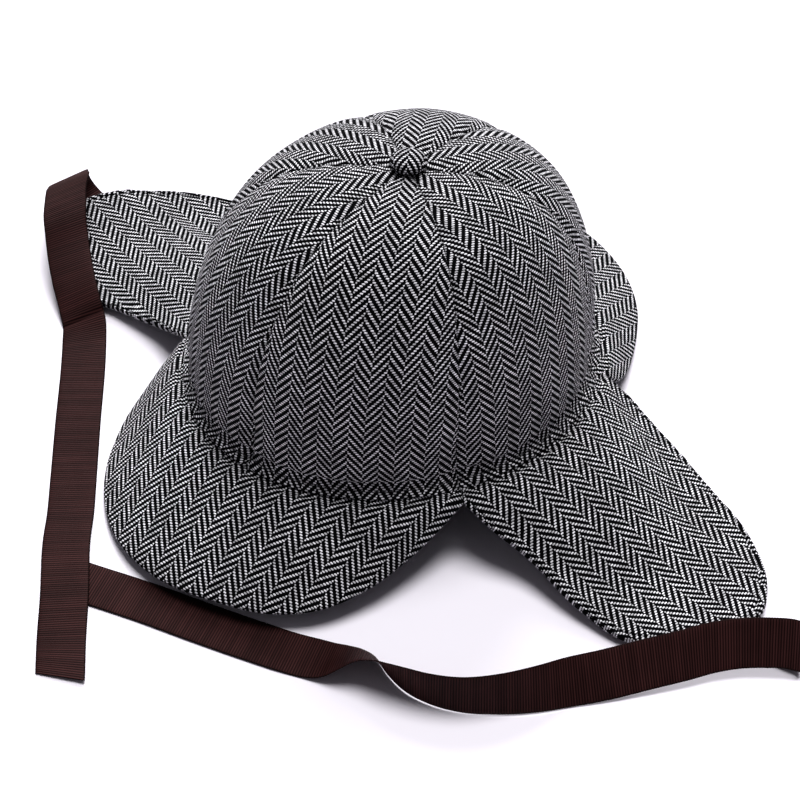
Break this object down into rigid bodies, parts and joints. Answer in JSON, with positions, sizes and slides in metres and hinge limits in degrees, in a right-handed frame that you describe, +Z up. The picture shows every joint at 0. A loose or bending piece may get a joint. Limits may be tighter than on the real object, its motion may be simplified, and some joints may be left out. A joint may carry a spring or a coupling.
{
  "type": "deerstalker hat",
  "caption": "Tweed deerstalker hat lying on a surface, with a sectioned crown, front and back peaks, ear flaps splayed to the sides and ribbon ties",
  "frame": {"origin": "on the surface that the hat lies on, under the middle of the hat without its ribbon ties", "axes": "+Z is up; the front peak points along -Y; +X is towards the wearer's left"},
  "size_m": [0.4524, 0.3643, 0.1446],
  "materials": {
    "tweed": "black and off-white wool herringbone twill",
    "ribbon": "dark brown ribbed ribbon"
  },
  "bodies": {
    "root": {"crown_gore_front_left": "tweed", "crown_gore_front_right": "tweed", "crown_gore_side_left": "tweed", "crown_gore_side_right": "tweed", "crown_gore_back_left": "tweed", "crown_gore_back_right": "tweed", "top_button": "tweed", "front_peak": "tweed", "back_peak": "tweed", "ear_flap_left": "tweed", "ear_flap_right": "tweed", "ribbon_tie_left": "ribbon", "ribbon_tie_right": "ribbon"}
  },
  "joints": []
}
